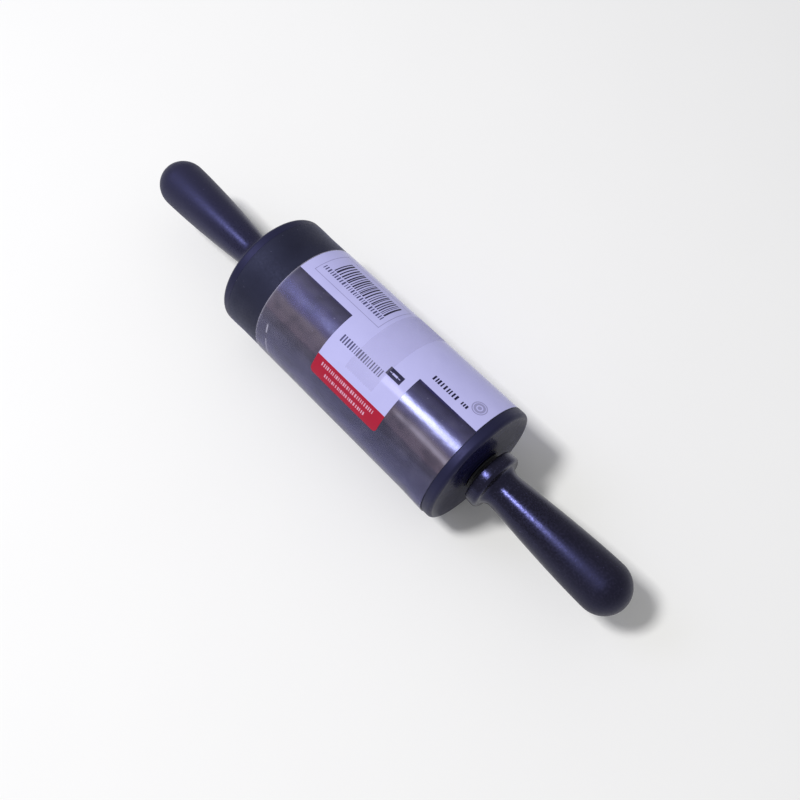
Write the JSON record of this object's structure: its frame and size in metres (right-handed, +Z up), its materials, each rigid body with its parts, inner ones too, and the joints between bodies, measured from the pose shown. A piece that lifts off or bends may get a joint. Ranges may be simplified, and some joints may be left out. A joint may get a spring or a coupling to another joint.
{
  "type": "silicone rolling pin",
  "caption": "Small rolling pin: silicone-covered roller with moulded end caps, turning on a steel rod between two handles, in a clear printed film wrap.",
  "frame": {"origin": "middle of the pin's length, on the surface that the roller lies on", "axes": "+X along the roller's axis towards the right handle, +Z up"},
  "size_m": [0.225, 0.045, 0.0449],
  "materials": {
    "moulded_plastic": "moulded, fine spark texture",
    "silicone": "moulded silicone, satin",
    "core_plastic": "extruded",
    "bush_acetal": "moulded black acetal",
    "washer_nylon": "moulded black nylon",
    "rod_steel": "drawn",
    "clear_film": "clear film with printed panels"
  },
  "bodies": {
    "handles": {"axle_rod": "rod_steel", "handle_left": "moulded_plastic", "handle_right": "moulded_plastic", "thrust_washer_left": "washer_nylon", "thrust_washer_right": "washer_nylon"},
    "roller": {"core_tube": "core_plastic", "silicone_sleeve": "silicone", "end_cap_left": "moulded_plastic", "end_cap_right": "moulded_plastic", "bearing_bush_left": "bush_acetal", "bearing_bush_right": "bush_acetal", "film_wrap": "clear_film"}
  },
  "joints": [
    {"name": "roller_spin", "type": "hinge", "parent": "handles", "child": "roller", "pos_m": [0, 0, 0.02247], "axis": [1, 0, 0], "continuous": true}
  ]
}
